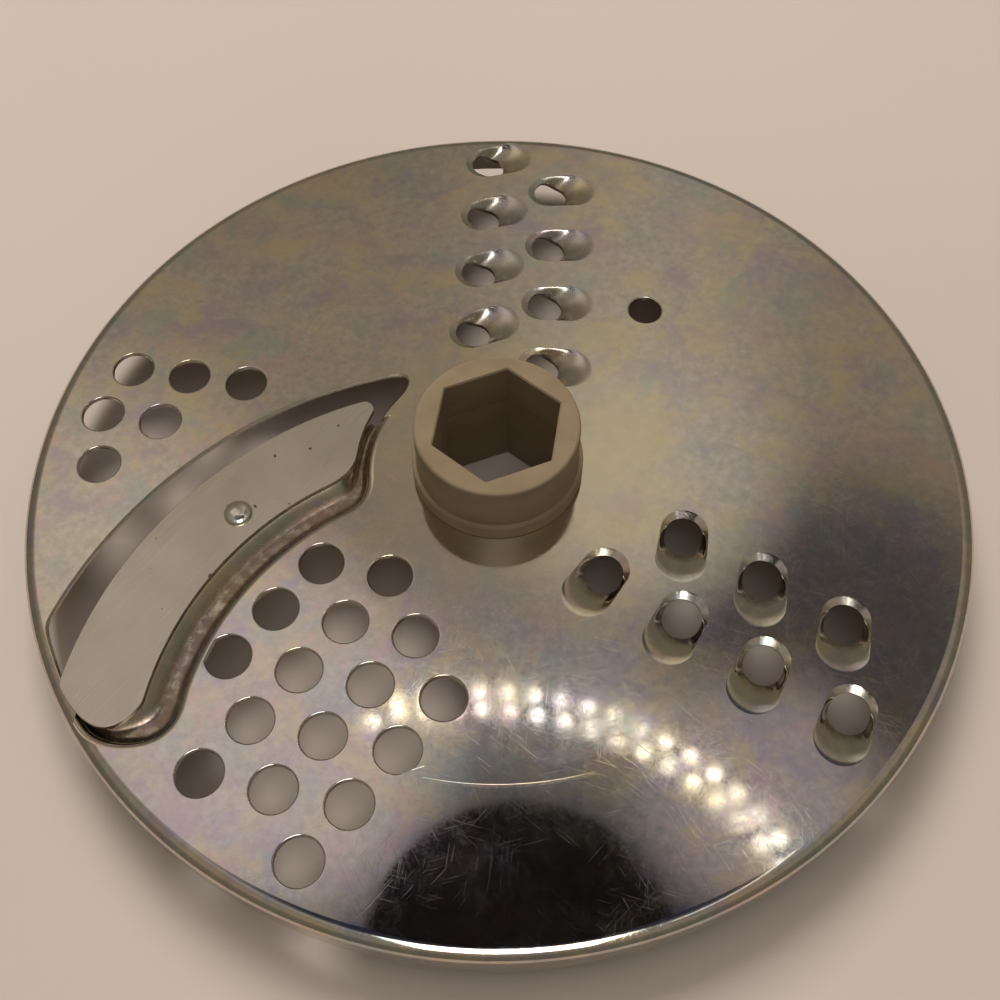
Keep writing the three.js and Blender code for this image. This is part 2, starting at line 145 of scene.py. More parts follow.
# rows of (place across, first place along, count), about a bearing from the axis
HOLES_BEHIND = (-130.4, [(0, -23.4, 3), (1, -29.4, 5), (2, -23.5, 4), (3, -17.9, 4)])
HOLES_AHEAD = (170, [(-1, 52.6, 3), (0, 66.8, 2), (1, 75.4, 1)])
TOOTH_GROUPS = [
    (85.6, [(6.7, 32.3, 4), (-7.8, 23.9, 4)]),
    (-34.4, [(5.8, 37.1, 3), (-8.9, 28.6, 4)]),
]

# ---------------------------------------------------------------- curves in plan
def polar(radius, degrees, centre=(0, 0)):
    """Points at a radius and bearing about a centre."""
    turn = np.radians(degrees)
    return np.stack([centre[0] + radius * np.cos(turn), centre[1] + radius * np.sin(turn)], -1)


def bearing_of(point):
    """Bearing of a point from the axis, in degrees from 0 to 360."""
    return math.degrees(math.atan2(point[1], point[0])) % 360


def in_group(along, across, degrees):
    """A place along a radial line at a bearing, and across it to the left."""
    return polar(along, degrees) + polar(across, degrees + 90)


def crossing(centre, radius, axis_radius):
    """Bearing about a centre of the point on its circle that lies a given distance from the axis."""
    away = math.hypot(*centre)
    turn = math.acos((axis_radius**2 - away**2 - radius**2) / (2 * radius * away))
    return (bearing_of(centre) - math.degrees(turn)) % 360


def arc(centre, radius, start, end):
    """Points on a circle between two bearings about its centre."""
    return polar(radius, np.linspace(start, end, 96), centre)


def rounded(start, corner, end):
    """A parabola from start to end whose tangents meet at the corner."""
    t = np.linspace(0, 1, 32)[:, None]
    return (1 - t) ** 2 * start + 2 * t * (1 - t) * corner + t**2 * end


def evened(curves, step, passes):
    """One closed outline at an even spacing, its joints eased by averaging neighbours."""
    points = np.concatenate([curve[:-1] for curve in curves])
    closed = np.vstack([points, points[:1]])
    lengths = np.concatenate([[0], np.cumsum(np.hypot(*np.diff(closed, axis=0).T))])
    places = np.linspace(0, lengths[-1], int(lengths[-1] / step), endpoint=False)
    outline = np.stack([np.interp(places, lengths, closed[:, i]) for i in (0, 1)], -1)
    for _ in range(passes):
        outline = (np.roll(outline, 1, 0) + 2 * outline + np.roll(outline, -1, 0)) / 4
    return outline


def inset(outline, distance):
    """Moves an anticlockwise outline inward along its own normals."""
    along = np.roll(outline, -1, 0) - np.roll(outline, 1, 0)
    along = along / np.hypot(*along.T)[:, None]
    return outline + distance * np.stack([-along[:, 1], along[:, 0]], -1)


def blade_shape(front_radius, margin, rim_margin, step=0.7):
    """Front arc, outer end, back arc and hub side of the blade, or of the seat drawn in by margins."""
    corner_radius = DISC - CORNER_GAP - rim_margin
    hub_side_radius = BLADE_HUB + margin
    back_radius = TRAILING + margin
    front = arc(
        BLADE_CENTRE, front_radius,
        crossing(BLADE_CENTRE, front_radius, BLADE_HUB + TIP_ROUND + margin),
        crossing(BLADE_CENTRE, front_radius, corner_radius),
    )
    back = arc(
        BLADE_CENTRE, back_radius,
        crossing(BLADE_CENTRE, back_radius, DISC - HEEL_GAP - margin),
        crossing(BLADE_CENTRE, back_radius, BLADE_HUB + SHOULDER_ROUND + margin),
    )
    tip, corner, heel, shoulder = front[0], front[-1], back[0], back[-1]
    end = polar(DISC - END_GAP - rim_margin, bearing_of(heel) - END_TURN)
    hub_side = arc(
        (0, 0), hub_side_radius, bearing_of(shoulder) - HUB_SIDE_START, bearing_of(tip) + HUB_SIDE_END,
    )
    return evened([
        front,
        rounded(corner, polar(corner_radius + CORNER_RISE, bearing_of(corner) + CORNER_TURN), end),
        rounded(end, polar(DISC - END_ROUND_GAP - rim_margin, bearing_of(heel) + HEEL_TURN), heel),
        back,
        rounded(
            shoulder,
            polar(hub_side_radius + SHOULDER_RISE, bearing_of(shoulder) - SHOULDER_TURN),
            hub_side[0],
        ),
        hub_side,
        np.linspace(hub_side[-1], tip, 8),
    ], step, 2)


def opening_outline():
    """The window ahead of the blade and the trough round its other sides."""
    centre = BLADE_CENTRE + THROAT_SHIFT
    window = CUTTING + THROAT
    trough = TRAILING - TROUGH_WIDTH
    leading = arc(
        centre, window,
        crossing(centre, window, OPENING_HUB + NOSE_ROUND), crossing(centre, window, WINDOW_RIM),
    )
    behind = arc(
        BLADE_CENTRE, trough,
        crossing(BLADE_CENTRE, trough, WINDOW_RIM - FOOT_ROUND),
        crossing(BLADE_CENTRE, trough, OPENING_HUB + INNER_ROUND),
    )
    nose, outer, foot, inner = leading[0], leading[-1], behind[0], behind[-1]
    rim_side = arc((0, 0), WINDOW_RIM, bearing_of(outer), bearing_of(foot) - RIM_SIDE_END)
    outer_end = polar(WINDOW_RIM - OUTER_END_DROP, bearing_of(foot) + OUTER_END_TURN)
    hub_side = arc(
        (0, 0), OPENING_HUB,
        bearing_of(inner) - OPENING_SIDE_START, bearing_of(nose) + OPENING_SIDE_END,
    )
    return evened([
        leading,
        rim_side,
        rounded(rim_side[-1], polar(WINDOW_RIM - FOOT_DROP, bearing_of(foot) + FOOT_TURN), outer_end),
        rounded(
            outer_end, polar(WINDOW_RIM - HEEL_SIDE_DROP, bearing_of(foot) + HEEL_SIDE_TURN), foot,
        ),
        behind,
        rounded(inner, polar(OPENING_HUB + INNER_RISE, bearing_of(inner)), hub_side[0]),
        hub_side,
        rounded(hub_side[-1], polar(OPENING_HUB + NOSE_RISE, bearing_of(nose) - NOSE_TURN), nose),
    ], 0.8, 4)


# ---------------------------------------------------------------- surfaces
def loops_mesh(loops, ring=False):
    """A closed surface through a stack of closed loops: quads between neighbours, and a flat cap
    on the first and last loop, or for a ring a last band of quads that joins them."""
    loops = np.asarray(loops, float)
    rows, count = loops.shape[:2]
    index = np.arange(rows * count).reshape(rows, count)
    below, above = (index, np.roll(index, -1, 0)) if ring else (index[:-1], index[1:])
    quads = np.stack([below, np.roll(below, -1, 1), np.roll(above, -1, 1), above], -1).reshape(-1, 4)
    faces = quads.tolist()
    if not ring:
        faces += [index[0, ::-1].tolist(), index[-1].tolist()]
    return loops.reshape(-1, 3), faces


def lifted(outline, height):
    """An outline in plan at one height."""
    return np.column_stack([outline, np.full(len(outline), height)])


def turned(profile, centre=(0, 0), steps=64, ring=False):
    """A solid of revolution: each (radius, height) of the profile is swept round the centre."""
    bearings = np.arange(steps) * 360 / steps
    loops = [lifted(polar(radius, bearings, centre), height) for radius, height in profile]
    return loops_mesh(loops, ring)


def quarter(centre_radius, centre_height, width, height, start, end, steps=8):
    """Part of an ellipse in (radius, height): 0 degrees is its side, 90 its top."""
    turn = np.radians(np.linspace(start, end, steps))
    return list(zip(centre_radius + width * np.cos(turn), centre_height + height * np.sin(turn)))


def solid(name, *shapes):
    """One object from separate closed surfaces, merged and with its faces outward."""
    mesh = bpy.data.meshes.new(name)
    points, faces, start = [], [], 0
    for shape_points, shape_faces in shapes:
        points.append(shape_points)
        faces += [[start + i for i in face] for face in shape_faces]
        start += len(shape_points)
    mesh.from_pydata((np.concatenate(points) * MM).tolist(), [], faces)
    work = bmesh.new()
    work.from_mesh(mesh)
    bmesh.ops.remove_doubles(work, verts=work.verts, dist=1e-7)
    bmesh.ops.dissolve_degenerate(work, edges=work.edges, dist=1e-7)
    bmesh.ops.recalc_face_normals(work, faces=work.faces)
    work.to_mesh(mesh)
    work.free()
    piece = bpy.data.objects.new(name, mesh)
    bpy.context.scene.collection.objects.link(piece)
    return piece


def cleaned(mesh, tiny=8e-7):
    """Merges points closer than a tiny distance and removes faces left with no area."""
    work = bmesh.new()
    work.from_mesh(mesh)
    bmesh.ops.remove_doubles(work, verts=work.verts, dist=tiny)
    bmesh.ops.dissolve_degenerate(work, edges=work.edges, dist=tiny)
    work.to_mesh(mesh)
    work.free()


def worked(piece, steps):
    """Joins, cuts or trims a solid by others in turn, and deletes those tools."""
    for operation, tool in steps:
        modifier = piece.modifiers.new(operation, "BOOLEAN")
        modifier.operation = operation
        modifier.solver = "MANIFOLD"
        modifier.object = tool
    graph = bpy.context.evaluated_depsgraph_get()
    result = bpy.data.meshes.new_from_object(piece.evaluated_get(graph))
    piece.modifiers.clear()
    piece.data = result
    cleaned(result)
    for _, tool in steps:
        bpy.data.objects.remove(tool)
    return piece


def finished(piece, node, material, crease=32):
    """Smooth shading but for real edges, its material, and the node that it stands for."""
    piece.data.shade_smooth()
    piece.data.set_sharp_from_angle(angle=math.radians(crease))
    weighted = piece.modifiers.new("flat_faces", "WEIGHTED_NORMAL")
    weighted.keep_sharp = True
    piece.data.materials.clear()
    piece.data.materials.append(material)
    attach(piece, "root")
    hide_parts(node)
    return piece


# ---------------------------------------------------------------- plate
def blank_plate():
    """Flat sheet whose rim rolls over a quarter ellipse into a straight skirt, one sheet thick."""
    roll = TOP - ROLL_DEPTH
    outside = quarter(DISC - ROLL_WIDTH, roll, ROLL_WIDTH, ROLL_DEPTH, 90, 0, 14)
    inside = quarter(DISC - ROLL_WIDTH, roll, ROLL_WIDTH - SHEET, ROLL_DEPTH - SHEET, 0, 90, 14)
    foot = PLATE_LOW[2]
    lip = 0.18                  # rounding of the skirt's cut edge
    bore = SPIGOT + CLEARANCE
    profile = [(bore, UNDER), (bore, TOP), *outside, (DISC, foot + lip), (DISC - lip, foot)]
    profile += [(DISC - SHEET + lip, foot), (DISC - SHEET, foot + lip), *inside]
    return solid("plate", turned(profile[::-1], steps=360, ring=True))


def punch(radius, centre):
    """Cuts a hole whose upper edge is rounded by the punch."""
    edge = quarter(radius + EDGE_ROUND, TOP - EDGE_ROUND, -EDGE_ROUND, EDGE_ROUND, 0, 90, 5)
    return turned([(radius, UNDER - 2), *edge, (radius + EDGE_ROUND, TOP + 2)], centre)


def hole_centres():
    """Places in parallel rows, counted from the hole nearest the trough or from the axis."""
    beside_trough = polar(TRAILING - TROUGH_WIDTH - HOLE_LAND - HOLE, HOLE_BEARING, BLADE_CENTRE)
    centres = []
    for datum, (bearing, rows) in ((beside_trough, HOLES_BEHIND), (np.zeros(2), HOLES_AHEAD)):
        for side, start, count in rows:
            for i in range(count):
                centres.append(datum + in_group(start + i * HOLE_PITCH, side * ROW_SPACING, bearing))
    return centres


def tooth_places():
    """Centre of each tooth and the bearing in which its ramp runs."""
    places = []
    for bearing, rows in TOOTH_GROUPS:
        for across, start, count in rows:
            for i in range(count):
                centre = in_group(start + i * TOOTH_PITCH, across, bearing)
                places.append((centre, bearing_of(centre) - 90 + TOOTH_LEAN))
    return places


def tooth(centre, ramp, steps=96, rows=16):
    """Pressed metal round a tooth's hole. Points go evenly round an egg-shaped rim (half circle,
    straight flank, half circle), each joined to a point of the hole's lip. On the ramp's side the
    section leaves the flat face gently and dips to the lip; on the mouth's side it is straight."""
    (ramp_shift, ramp_radius), (mouth_shift, mouth_radius) = TOOTH_RAMP, TOOTH_MOUTH
    corners = np.cumsum([0, ramp_radius * np.pi / 2, ramp_shift + mouth_shift, mouth_radius * np.pi / 2])
    along = np.linspace(-corners[-1], corners[-1], steps, endpoint=False)
    side, along = np.where(along < 0, -1, 1), np.abs(along)
    turn = side * np.interp(along, corners, [0, 90, 90, 180])
    lip_turn = side * np.interp(along, corners, LIP_TURNS)
    radius = np.interp(along, corners, [ramp_radius, ramp_radius, mouth_radius, mouth_radius])[:, None]
    shift = np.interp(along, corners, [ramp_shift, ramp_shift, -mouth_shift, -mouth_shift])[:, None]
    out = polar(1, ramp)
    rim = centre + radius * polar(1, ramp + turn) + shift * out
    lip = centre + TOOTH_HOLE[1] * polar(1, ramp + lip_turn) - TOOTH_HOLE[0] * out
    dip = np.clip((np.cos(np.radians(lip_turn)) + DIP_START) / DIP_SPAN, 0, 1)
    dip = dip * dip * (3 - 2 * dip)
    depth = LIP_DEPTH + (TOOTH_DEPTH - LIP_DEPTH) * dip
    t = np.linspace(0, 1, rows)[:, None]
    ease = (1 - dip) * t + dip * (0.5 * t * t * (3 - 2 * t) + 0.5 * t**3)
    plan = rim + t[..., None] * (lip - rim)
    upper = np.concatenate([plan, (TOP - SINK - depth * ease)[..., None]], -1)
    thickness = SHEET - 2 * SINK + t * ((LIP_EDGE + (SHEET - LIP_EDGE) * dip) - SHEET)
    lower = upper - np.stack([np.zeros_like(thickness)] * 2 + [thickness], -1)
    inner = centre + (radius - LAP) * polar(1, ramp + turn) + shift * out
    blank = np.stack([lifted(inner, UNDER - 2), lifted(inner, TOP + 2)])
    return loops_mesh(np.concatenate([lower[::-1], upper]), ring=True), loops_mesh(blank)


def nearest_on(outline, points):
    """For each point the closest point of an outline."""
    gaps = ((points[:, None] - outline[None]) ** 2).sum(-1)
    return outline[gaps.argmin(1)]


def trough(opening):
    """The sheet carried from the flat face over a rounded bend, down the wall, across the floor and
    up a slope to the seat. Each section runs from the opening to the nearest point of the seat."""
    seat = blade_shape(SEAT, SEAT_MARGIN, SEAT_RIM_MARGIN, 0.2)
    inner = nearest_on(seat, opening)
    for _ in range(6):
        inner = (np.roll(inner, 1, 0) + 2 * inner + np.roll(inner, -1, 0)) / 4
    out = inset(opening, -1) - opening
    bend_turn = np.linspace(0, np.pi / 2, 9)
    rows = [(opening + out * (BEND + 0.4), -0.3, 0.0, SHEET - 0.6)]
    for turn in bend_turn:
        place = opening + out * BEND * (1 - np.sin(turn))
        height = -SINK - (BEND_DROP - SINK) * (1 - np.cos(turn))
        rows.append((place, height, SHEET * np.sin(turn), (SHEET - 2 * SINK) * np.cos(turn)))
    for turn in bend_turn[1:]:
        place = opening + WALL_SHARE * (1 - np.cos(turn)) * (inner - opening)
        height = -BEND_DROP - (TROUGH_DEPTH - BEND_DROP) * np.sin(turn)
        rows.append((place, height, SHEET * np.cos(turn), SHEET * np.sin(turn)))
    for t in np.linspace(0, 1, 14):
        place = opening + (SLOPE_START + (1 - SLOPE_START) * t) * (inner - opening)
        rows.append((place, -TROUGH_DEPTH * (1 - t * t * (3 - 2 * t)), 0.0, SHEET))
    upper = [lifted(place, TOP + height) for place, height, _, _ in rows]
    lower = [lifted(place + out * side, TOP + height - down) for place, height, side, down in rows]
    return loops_mesh(lower[::-1] + upper)


def turning_mark():
    """A shallow engraved arc with an arrow head, showing the way the disc turns."""
    radius, width, depth = 62.0, 0.3, 0.14
    band_start, band_end = -102.4, -76
    head_start, head_tip, head_width = -102.6, -106, 2.2
    bearings = np.linspace(band_start, band_end, 60)
    band = np.concatenate([polar(radius - width, bearings), polar(radius + width, bearings[::-1])])
    tip = polar(radius, head_tip)
    inner, outer = polar(radius - head_width, head_start), polar(radius + head_width, head_start)
    head = np.array([tip, inner, outer])
    shapes = [band, head]
    return [loops_mesh([lifted(s, TOP - depth), lifted(s, TOP + 1)]) for s in shapes]


def rivet_centre():
    return polar(CUTTING - RIVET_INSET, RIVET_BEARING, BLADE_CENTRE)


def make_plate(material):
    opening = opening_outline()
    whole_seat = [(SEAT, UNDER - 6), (SEAT, TOP + 6)]
    lapped_seat = [(SEAT + LAP, UNDER - 6), (SEAT + LAP, TOP + 6)]
    teeth = [tooth(*place) for place in tooth_places()]
    window = [
        lifted(opening, UNDER - 4), lifted(opening, TOP - EDGE_ROUND),
        lifted(inset(opening, -EDGE_ROUND), TOP), lifted(inset(opening, -EDGE_ROUND), TOP + 2),
    ]
    bent = inset(opening, LAP - BEND)
    behind_seat = worked(
        solid("bent", loops_mesh([lifted(bent, UNDER - 4), lifted(bent, TOP + 2)])),
        [("INTERSECT", solid("within", turned(whole_seat, BLADE_CENTRE, 360)))],
    )
    pressed = worked(
        solid("pressed", trough(opening)),
        [("INTERSECT", solid("within_lap", turned(lapped_seat, BLADE_CENTRE, 360)))],
    )
    holes = [punch(HOLE, centre) for centre in hole_centres()]
    holes.append(punch(PLAIN_HOLE[0], polar(PLAIN_HOLE[1], PLAIN_HOLE[2])))
    rivet_hole = turned([(SHANK + CLEARANCE, UNDER - 4), (SHANK + CLEARANCE, TOP + 2)], rivet_centre())
    plate = worked(blank_plate(), [
        ("DIFFERENCE", solid("holes", *holes)),
        ("DIFFERENCE", solid("tooth_blanks", *[blank for _, blank in teeth])),
        ("DIFFERENCE", solid("window", loops_mesh(window))),
        ("DIFFERENCE", behind_seat),
        ("UNION", pressed),
        ("UNION", solid("teeth", *[ring for ring, _ in teeth])),
        ("DIFFERENCE", solid("rivet_hole", rivet_hole)),
        ("DIFFERENCE", solid("mark", *turning_mark())),
    ])
    return finished(plate, "disc_plate", material)


# ---------------------------------------------------------------- blade and rivet
def make_blade(material):
    """A flat plate on the blade's outline, eased along its upper edge and ground from below."""
    low, high = BLADE_LOW[2], BLADE_HIGH[2]
    full = blade_shape(CUTTING, 0, 0)
    ease = 0.16
    land = 0.2                  # height left at the cutting edge
    away = full - BLADE_CENTRE
    reach = np.hypot(*away.T)
    held = BLADE_CENTRE + away * np.minimum(1, (CUTTING - BEVEL) / reach)[:, None]
    loops = [lifted(held, low), lifted(full, high - land), lifted(inset(full, ease * 0.3), high - ease * 0.3)]
    loops.append(lifted(inset(full, ease), high))
    hole = turned([(SHANK + CLEARANCE, low - 1), (SHANK + CLEARANCE, high + 1)], rivet_centre(), 32)
    blade = worked(solid("blade", loops_mesh(loops)), [("DIFFERENCE", solid("blade_hole", hole))])
    return finished(blade, "slicing_blade", material)


def make_rivet(material):
    """Domed head on a shank through blade and seat, with a clenched tail below."""
    seating, rim_height, dome_height = 0.03, 0.15, 1.0
    tail_gap, tail_radius, tail_end = 0.05, 2.2, 1.6
    tail_height, tail_edge = 0.8, 0.5
    head = BLADE_HIGH[2] + seating
    radius = (RIVET_HIGH[0] - RIVET_LOW[0]) / 2
    dome = quarter(0, head + rim_height, radius, dome_height, 0, 88, 12)
    tail = UNDER - tail_gap
    profile = [(tail_end, tail - tail_height), (tail_radius, tail - tail_edge), (tail_radius, tail)]
    profile += [(SHANK, tail), (SHANK, head)]
    rivet = solid("rivet", turned(profile + [(radius, head)] + dome, rivet_centre(), 48))
    return finished(rivet, "blade_rivet", material)


# ---------------------------------------------------------------- hub
def hub_profile(sheet_face, outward, end_face):
    """Outer profile of one half from the sheet outward: collar, rounded shoulder, barrel, rounded end."""
    collar_width = 0.9
    collar_round, round_height = 0.45, 2.95
    hollow_width, hollow_start, hollow_end = 0.12, 3.55, 4.0
    edge_round = 0.7
    foot_ease, foot_start, foot_end = 0.15, 0.02, 0.2
    barrel = COLLAR - collar_width
    end = abs(end_face - sheet_face)
    shoulder = quarter(COLLAR - collar_round, round_height, collar_round, collar_round, 0, 90, 6)
    hollow = [(barrel + hollow_width, hollow_start), (barrel, hollow_end)]
    edge = quarter(barrel - edge_round, end - edge_round, edge_round, edge_round, 0, 90, 8)
    profile = [(COLLAR - foot_ease, foot_start), (COLLAR, foot_end), *shoulder, *hollow, *edge]
    return [(radius, sheet_face + outward * rise) for radius, rise in profile]


def socket():
    """The hexagonal drive socket, with its mouths eased."""
    ease = 0.3
    heights = [(-1, ease), (0, ease), (ease, 0), (HUB_TOP - ease, 0), (HUB_TOP, ease), (HUB_TOP + 1, ease)]
    bearings = SOCKET_TURN + np.arange(6) * 60
    return loops_mesh([lifted(polar(SOCKET_CORNER + wider, bearings), z) for z, wider in heights])


def make_hub(material):
    rise = 4.2                  # of the lower half's spigot above the sheet
    bore = SPIGOT + CLEARANCE
    counterbore = turned([(bore, TOP - 2), (bore, TOP + rise + CLEARANCE)], steps=96)
    upper = worked(solid("hub_top_half", turned(hub_profile(TOP, 1, HUB_TOP), steps=160)), [
        ("DIFFERENCE", solid("counterbore", counterbore)),
        ("DIFFERENCE", solid("upper_socket", socket())),
    ])
    spigot = turned([(SPIGOT, UNDER - 2), (SPIGOT, TOP + rise)], steps=96)
    lower = worked(solid("hub_bottom_half", turned(hub_profile(UNDER, -1, 0)[::-1], steps=160)), [
        ("UNION", solid("spigot", spigot)),
        ("DIFFERENCE", solid("lower_socket", socket())),
    ])
    finished(upper, "hub_upper", material)
    finished(lower, "hub_lower", material)


# ---------------------------------------------------------------- materials
class Finish:
    """A Principled material with short calls for the nodes that these finishes use."""

    def __init__(self, name, **values):
        self.material = bpy.data.materials.new(name)
        self.material.use_nodes = True
        self.tree = self.material.node_tree
        self.shader = self.tree.nodes["Principled BSDF"]
        for label, value in values.items():
            self.shader.inputs[label.replace("_", " ")].default_value = value
        self.coordinates = self.tree.nodes.new("ShaderNodeTexCoord").outputs["Object"]

    def node(self, kind, links=(), **settings):
        made = self.tree.nodes.new("ShaderNode" + kind)
        for label, value in settings.items():
            setattr(made, label, value)
        for label, source in dict(links).items():
            if isinstance(source, bpy.types.NodeSocket):
                self.tree.links.new(source, made.inputs[label])
            else:
                made.inputs[label].default_value = source
        return made

    def place(self, turn=0, size=(1, 1, 1), move=(0, 0, 0)):
        """Object coordinates counted in features of a given size in mm, about a moved and turned origin."""
        links = {
            "Vector": self.coordinates,
            "Rotation": (0, 0, math.radians(turn)),
            "Scale": [s * MM for s in size],
            "Location": [m * MM for m in move],
        }
        return self.node("Mapping", links, vector_type="TEXTURE").outputs["Vector"]

    def noise(self, size=1, detail=3, turn=0, move=(0, 0, 0), distortion=0, roughness=0.5):
        """Noise whose features measure size mm, or (along, across) mm when it is drawn out."""
        size = (*size, 1) if isinstance(size, tuple) else (size, size, size)
        links = {"Vector": self.place(turn, size, move), "Scale": 1, "Detail": detail}
        links |= {"Distortion": distortion, "Roughness": roughness}
        return self.node("TexNoise", links).outputs["Fac"]

    def spread(self, value, low, high, start=0.0, end=1.0):
        links = {"Value": value, "From Min": low, "From Max": high, "To Min": start, "To Max": end}
        return self.node("MapRange", links).outputs["Result"]

    def maths(self, operation, first, second=0.0):
        made = self.node("Math", operation=operation)
        for slot, source in ((0, first), (1, second)):
            if isinstance(source, bpy.types.NodeSocket):
                self.tree.links.new(source, made.inputs[slot])
            else:
                made.inputs[slot].default_value = source
        return made.outputs[0]

    def mix(self, amount, first, second):
        made = self.node("Mix", {"Factor": amount}, data_type="RGBA")
        for slot, source in ((6, first), (7, second)):
            if isinstance(source, bpy.types.NodeSocket):
                self.tree.links.new(source, made.inputs[slot])
            else:
                made.inputs[slot].default_value = source
        return made.outputs[2]

    def ramp(self, value, stops):
        made = self.node("ValToRGB", {"Fac": value})
        elements = made.color_ramp.elements
        while len(elements) < len(stops):
            elements.new(0.5)
        for element, (place, colour) in zip(elements, stops):
            element.position = place
            element.color = (*colour, 1)
        return made.outputs["Color"]

    def scratches(self, turn, length, width, sparse):
        """Long thin streaks in one direction: the crests of a drawn-out noise, in scattered patches."""
        streak = self.noise((length, width), 1, turn, (turn, turn, 0))
        broken = self.noise(11, 2, move=(turn, -turn, 0))
        line = self.spread(streak, sparse, sparse + 0.05)
        return self.maths("MULTIPLY", line, self.spread(broken, 0.47, 0.62))

    def bump(self, height, distance, strength=1.0):
        links = {"Height": height, "Distance": distance * MM, "Strength": strength}
        made = self.node("Bump", links)
        if self.shader.inputs["Normal"].is_linked:
            self.tree.links.new(self.shader.inputs["Normal"].links[0].from_socket, made.inputs["Normal"])
        self.tree.links.new(made.outputs["Normal"], self.shader.inputs["Normal"])

    def give(self, label, source):
        self.tree.links.new(source, self.shader.inputs[label])


def plate_steel():
    """Polished stainless sheet gone dull in patches, with tarnish colours and crossing scratches."""
    finish = Finish("plate_steel", Metallic=1.0)
    mottle = finish.spread(finish.noise(1.8, 6, roughness=0.7), 0.35, 0.65)
    colour = finish.mix(mottle, (0.49, 0.455, 0.405, 1), (0.62, 0.58, 0.52, 1))
    for tint, size, start, most in (
        ((0.68, 0.58, 0.37, 1), 17, 0.46, 0.68),
        ((0.42, 0.36, 0.50, 1), 13, 0.49, 0.52),
        ((0.38, 0.48, 0.47, 1), 11, 0.51, 0.48),
        ((0.66, 0.46, 0.48, 1), 9, 0.53, 0.42),
    ):
        patch = finish.noise(size, 8, move=(size, 3 * size, 0), distortion=0.35, roughness=0.68)
        colour = finish.mix(finish.spread(patch, start, start + 0.14, 0, most), colour, tint)
    away = finish.node("VectorMath", {"Vector": finish.place()}, operation="LENGTH").outputs["Value"]
    wander = finish.maths("ADD", away, finish.spread(finish.noise(14, 4), 0, 1, -9, 9))
    halo = finish.spread(wander, 24, 42, 0.6, 0.0)
    colour = finish.mix(halo, colour, (0.68, 0.60, 0.42, 1))
    marks = finish.scratches(14, 12, 0.24, 0.68)
    for turn in (47, 81, 118, 139, 163):
        marks = finish.maths("MAXIMUM", marks, finish.scratches(turn, 9, 0.22, 0.68))
    smudge = finish.noise(9, 8, move=(9, 1, 0), distortion=0.8, roughness=0.68)
    grit = finish.noise(0.45, 2)
    parts = finish.node("SeparateXYZ", {"Vector": finish.place()}).outputs
    rough = finish.maths(
        "ADD", finish.spread(smudge, 0.38, 0.68, 0.035, 0.10), finish.spread(grit, 0.35, 0.7, 0, 0.03),
    )
    rough = finish.maths("ADD", rough, finish.spread(parts["Y"], -25, 50, 0, 0.11))
    rough = finish.maths("ADD", rough, finish.maths("MULTIPLY", marks, 0.06))
    inside = finish.spread(away, DISC - 5, DISC - 3, 1, 0)
    worked_metal = finish.maths("MULTIPLY", finish.spread(parts["Z"], TOP - 0.03, TOP - 0.12), inside)
    rough = finish.maths("ADD", rough, finish.maths("MULTIPLY", worked_metal, 0.08))
    # darker brown, blotched by noise, wherever the sheet sinks below its face: painted shade in the trough
    # and the tooth dishes, partly rust specks
    pressed = finish.spread(parts["Z"], TOP - 1.1, TOP - 2.2)
    recess_shade_and_rust = finish.maths("MULTIPLY", pressed, finish.maths("MULTIPLY", inside, 0.75))
    recess_shade_and_rust = finish.maths("MULTIPLY", recess_shade_and_rust, finish.spread(finish.noise(1.6, 4), 0.30, 0.55, 0.35, 1))
    colour = finish.mix(recess_shade_and_rust, colour, (0.17, 0.105, 0.06, 1))
    rough = finish.maths("ADD", rough, finish.maths("MULTIPLY", recess_shade_and_rust, 0.25))
    finish.give("Base Color", colour)
    finish.give("Roughness", rough)
    finish.bump(marks, -0.0022, 0.5)
    finish.bump(finish.noise(22, 2), 0.02, 0.25)
    return finish.material


def blade_steel():
    """Satin ground stainless, brushed one way, with a few dark pits."""
    finish = Finish("blade_steel", Metallic=1.0, Anisotropic=0.3)
    grain = finish.noise((14, 0.25), 3, 52)
    cloud = finish.noise(15, 5)
    pits = finish.spread(finish.noise(1.6, 1, move=(5, 3, 0)), 0.755, 0.785)
    colour = finish.mix(finish.spread(cloud, 0.35, 0.65), (0.54, 0.49, 0.42, 1), (0.62, 0.57, 0.49, 1))
    colour = finish.mix(pits, colour, (0.12, 0.09, 0.07, 1))
    finish.give("Base Color", colour)
    finish.give("Roughness", finish.spread(grain, 0.3, 0.7, 0.26, 0.38))
    finish.bump(grain, 0.006, 0.5)
    return finish.material


def rivet_steel():
    """Bright stainless dome, hammered a little by setting."""
    finish = Finish("rivet_steel", Metallic=1.0)
    dents = finish.noise(1.1, 2)
    tone = finish.spread(dents, 0.3, 0.7)
    finish.give("Base Color", finish.mix(tone, (0.60, 0.56, 0.50, 1), (0.74, 0.70, 0.63, 1)))
    finish.give("Roughness", finish.spread(finish.noise(0.25, 3), 0.3, 0.7, 0.12, 0.24))
    finish.bump(dents, 0.10, 0.6)
    return finish.material


def hub_plastic():
    """Matte moulded plastic with a fine grain and faint stains."""
    finish = Finish("hub_plastic", Specular_IOR_Level=0.2)
    stain = finish.noise(6, 6)
    grain = finish.noise(0.22, 3)
    colour = finish.mix(finish.spread(stain, 0.3, 0.7), (0.232, 0.176, 0.108, 1), (0.285, 0.220, 0.142, 1))
    speck = finish.spread(finish.noise(0.8, 1, move=(2, 8, 4)), 0.78, 0.81)
    finish.give("Base Color", finish.mix(speck, colour, (0.10, 0.045, 0.03, 1)))
    finish.give("Roughness", finish.spread(grain, 0.3, 0.7, 0.50, 0.66))
    finish.bump(grain, 0.025, 0.5)
    return finish.material


